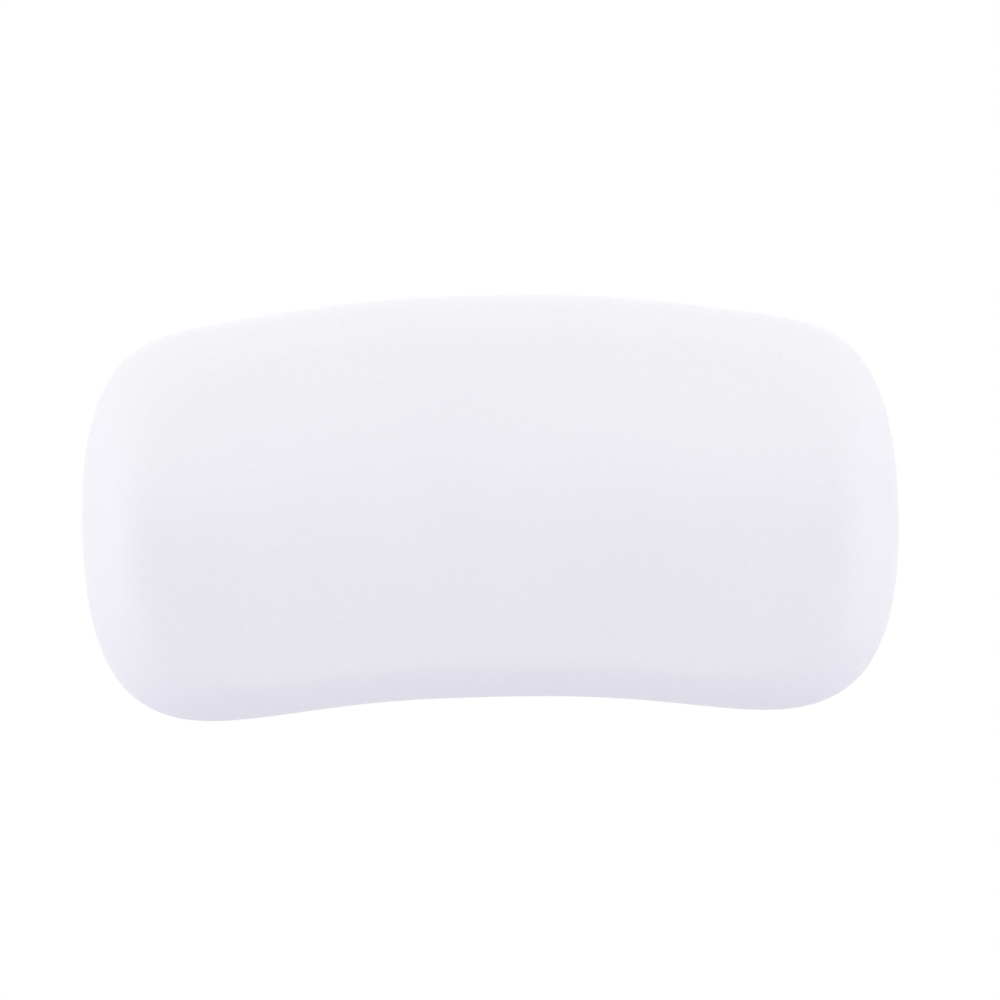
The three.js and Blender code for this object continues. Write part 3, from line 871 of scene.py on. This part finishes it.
def moulded_clear_vinyl():
    """Plasticised PVC, moulded in a polished tool: clear with a cool tint, glossy, and a little wavy.

    Some light goes straight through the thin wall, so a cup stays pale when it is seen edge on.
    """
    material, tree = new_material("moulded_clear_vinyl")
    place = add(tree, "ShaderNodeTexCoord").outputs["Object"]
    waves = add(
        tree, "ShaderNodeTexNoise", {"Scale": per_mm(WAVE_PITCH), "Detail": 1}, {"Vector": place}
    ).outputs["Fac"]
    relief = add(tree, "ShaderNodeBump", {"Distance": WAVE_DEPTH * MM}, {"Height": waves})
    roughness = add(
        tree, "ShaderNodeMapRange",
        {"To Min": VINYL_ROUGHNESS[0], "To Max": VINYL_ROUGHNESS[1]}, {"Value": waves},
    )
    shader = add(
        tree, "ShaderNodeBsdfPrincipled",
        {"Base Color": linear(VINYL_COLOUR), "IOR": 1.53, "Transmission Weight": 0.78, "Alpha": 0.7},
        {"Roughness": roughness.outputs["Result"], "Normal": relief.outputs["Normal"]},
    )
    add(tree, "ShaderNodeOutputMaterial", links={"Surface": shader.outputs["BSDF"]})
    return material


def coated(obj, material):
    """Gives an object its one material."""
    obj.data.materials.clear()
    obj.data.materials.append(material)


def dressed(obj, body, material, node):
    """Gives a piece its material and its body, and hides the CAD node that it stands for."""
    coated(obj, material)
    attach(obj, body)
    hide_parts(node)
    return obj


def make_pillow():
    """The cushion and the pieces inside it. The CAD plate and caps stay, with materials of their own."""
    skin = integral_skin_polyurethane()
    front = dressed(front_moulding(), "pillow", skin, "front_skin")
    back = dressed(rear_moulding(), "pillow", skin, "rear_skin")
    filling = dressed(foam_filling(), "pillow", open_cell_foam(), "foam_core")
    socket_plastic = moulded_plastic("moulded_acetal", *ACETAL, {"IOR": 1.48})
    plate_plastic = moulded_plastic("moulded_abs", *ABS, {"IOR": 1.54})
    cap_plastic = moulded_plastic("moulded_polypropylene", *POLYPROPYLENE, {"IOR": 1.49})
    coated(frame["nodes"]["carrier_plate"], plate_plastic)
    for side in SIDES:
        dressed(socket_bush(side), "pillow", socket_plastic, f"{side}_socket")
        coated(frame["nodes"][f"{side}_foam_cap"], cap_plastic)


def make_cups():
    """The studs and the suction cups."""
    light_inside = {"Subsurface Weight": 0.15, "Subsurface Scale": 2 * MM}
    nylon = moulded_plastic("moulded_nylon", *NYLON, {"IOR": 1.53, **light_inside})
    vinyl = moulded_clear_vinyl()
    for side in SIDES:
        dressed(mushroom_stud(side), f"{side}_stud", nylon, f"{side}_cup_stud")
        dressed(vinyl_cup(side), f"{side}_cup", vinyl, f"{side}_suction_cup")


def make_camera():
    """A long lens, level and square to the pillow, turned about its own line of sight."""
    side = 2 * HALF_WIDTH * MM * PICTURE_SIDE / PILLOW_WIDTH_PIXELS
    away = side * LENS / SENSOR
    across = (PICTURE_SIDE / 2 - PILLOW_MIDDLE_PIXEL[0]) / PICTURE_SIDE * side
    up = (PILLOW_MIDDLE_PIXEL[1] - PICTURE_SIDE / 2) / PICTURE_SIDE * side
    turn = Matrix.Rotation(math.radians(90), 3, "X") @ Matrix.Rotation(-PICTURE_TURN, 3, "Z")
    camera = placed("camera", bpy.data.cameras.new("camera"))
    camera.data.lens = LENS
    camera.data.sensor_width = SENSOR
    camera.matrix_world = turn.to_4x4()
    target = Vector((MIDDLE.x, -PARTING_DEPTH * MM, MIDDLE.z))
    camera.location = target + turn @ Vector((across, up, away))
    bpy.context.scene.camera = camera


def make_lamp(name, azimuth, elevation, distance, size, power, hex_colour):
    """A square softbox that faces the pillow. Azimuth 0 is in front and 90 is to the right."""
    across, up = math.radians(azimuth), math.radians(elevation)
    away = Vector((math.sin(across) * math.cos(up), -math.cos(across) * math.cos(up), math.sin(up)))
    lamp = placed(name, bpy.data.lights.new(name, "AREA"))
    lamp.data.shape = "SQUARE"
    lamp.data.size = size
    lamp.data.energy = power
    lamp.data.color = linear(hex_colour)[:3]
    lamp.location = MIDDLE + away * distance
    lamp.rotation_euler = away.to_track_quat("Z", "Y").to_euler()


def showing(tree):
    """1 for what the camera sees of the surroundings, also in gloss and through clear plastic."""
    rays = add(tree, "ShaderNodeLightPath").outputs
    seen = rays["Is Camera Ray"]
    for kind in ("Is Glossy Ray", "Is Transmission Ray"):
        either = add(tree, "ShaderNodeMath", {"operation": "MAXIMUM"}, {0: seen, 1: rays[kind]})
        seen = either.outputs["Value"]
    return seen


def make_floor():
    """A pale plain floor well below the pillow, which hangs on a tub wall in use.

    To the camera it fades into the white background before its edge, and a camera below it looks
    through it, so the pillow can be seen from under the floor too. It lights the pillow evenly.
    """
    half = FLOOR_SIDE / 2
    corners = [(-half, -half), (half, -half), (half, half), (-half, half)]
    mesh = bpy.data.meshes.new("floor")
    mesh.from_pydata([(x, y, FLOOR_HEIGHT) for x, y in corners], [], [(0, 1, 2, 3)])
    floor = placed("floor", mesh)
    material, tree = new_material("pale_floor")
    place = add(tree, "ShaderNodeTexCoord").outputs["Object"]
    paint = add(tree, "ShaderNodeBsdfPrincipled", {"Base Color": linear(FLOOR_COLOUR), "Roughness": 0.9})
    white = add(tree, "ShaderNodeEmission", {"Color": linear(WHITE), "Strength": 1})
    from_middle = add(tree, "ShaderNodeVectorMath", {"operation": "LENGTH"}, {0: place})
    fade = add(
        tree, "ShaderNodeMapRange",
        {"interpolation_type": "SMOOTHSTEP", "From Min": FLOOR_FADE[0], "From Max": FLOOR_FADE[1]},
        {"Value": from_middle.outputs["Value"]},
    )
    share = add(
        tree, "ShaderNodeMath", {"operation": "MULTIPLY"}, {0: fade.outputs["Result"], 1: showing(tree)}
    )
    both = add(
        tree, "ShaderNodeMixShader",
        links={0: share.outputs["Value"], 1: paint.outputs["BSDF"], 2: white.outputs["Emission"]},
    )
    underside = add(tree, "ShaderNodeNewGeometry").outputs["Backfacing"]
    camera_ray = add(tree, "ShaderNodeLightPath").outputs["Is Camera Ray"]
    from_below = add(tree, "ShaderNodeMath", {"operation": "MULTIPLY"}, {0: underside, 1: camera_ray})
    clear = add(tree, "ShaderNodeBsdfTransparent")
    surface = add(
        tree, "ShaderNodeMixShader",
        links={0: from_below.outputs["Value"], 1: both.outputs["Shader"], 2: clear.outputs["BSDF"]},
    )
    add(tree, "ShaderNodeOutputMaterial", links={"Surface": surface.outputs["Shader"]})
    coated(floor, material)


def make_world():
    """Soft light from all round. What the camera, gloss and clear plastic see of it is white."""
    world = bpy.data.worlds.new("studio")
    bpy.context.scene.world = world
    world.use_nodes = True
    tree = world.node_tree
    tree.nodes.clear()
    soft = add(tree, "ShaderNodeBackground", {"Color": linear(AMBIENT), "Strength": AMBIENT_STRENGTH})
    white = add(tree, "ShaderNodeBackground", {"Color": linear(WHITE), "Strength": 1})
    mixed = add(
        tree, "ShaderNodeMixShader",
        links={0: showing(tree), 1: soft.outputs["Background"], 2: white.outputs["Background"]},
    )
    add(tree, "ShaderNodeOutputWorld", links={"Surface": mixed.outputs["Shader"]})


make_camera()
make_pillow()
make_cups()
make_floor()
make_world()
for lamp in LAMPS:
    make_lamp(*lamp)
bpy.context.scene.view_settings.view_transform = "Standard"
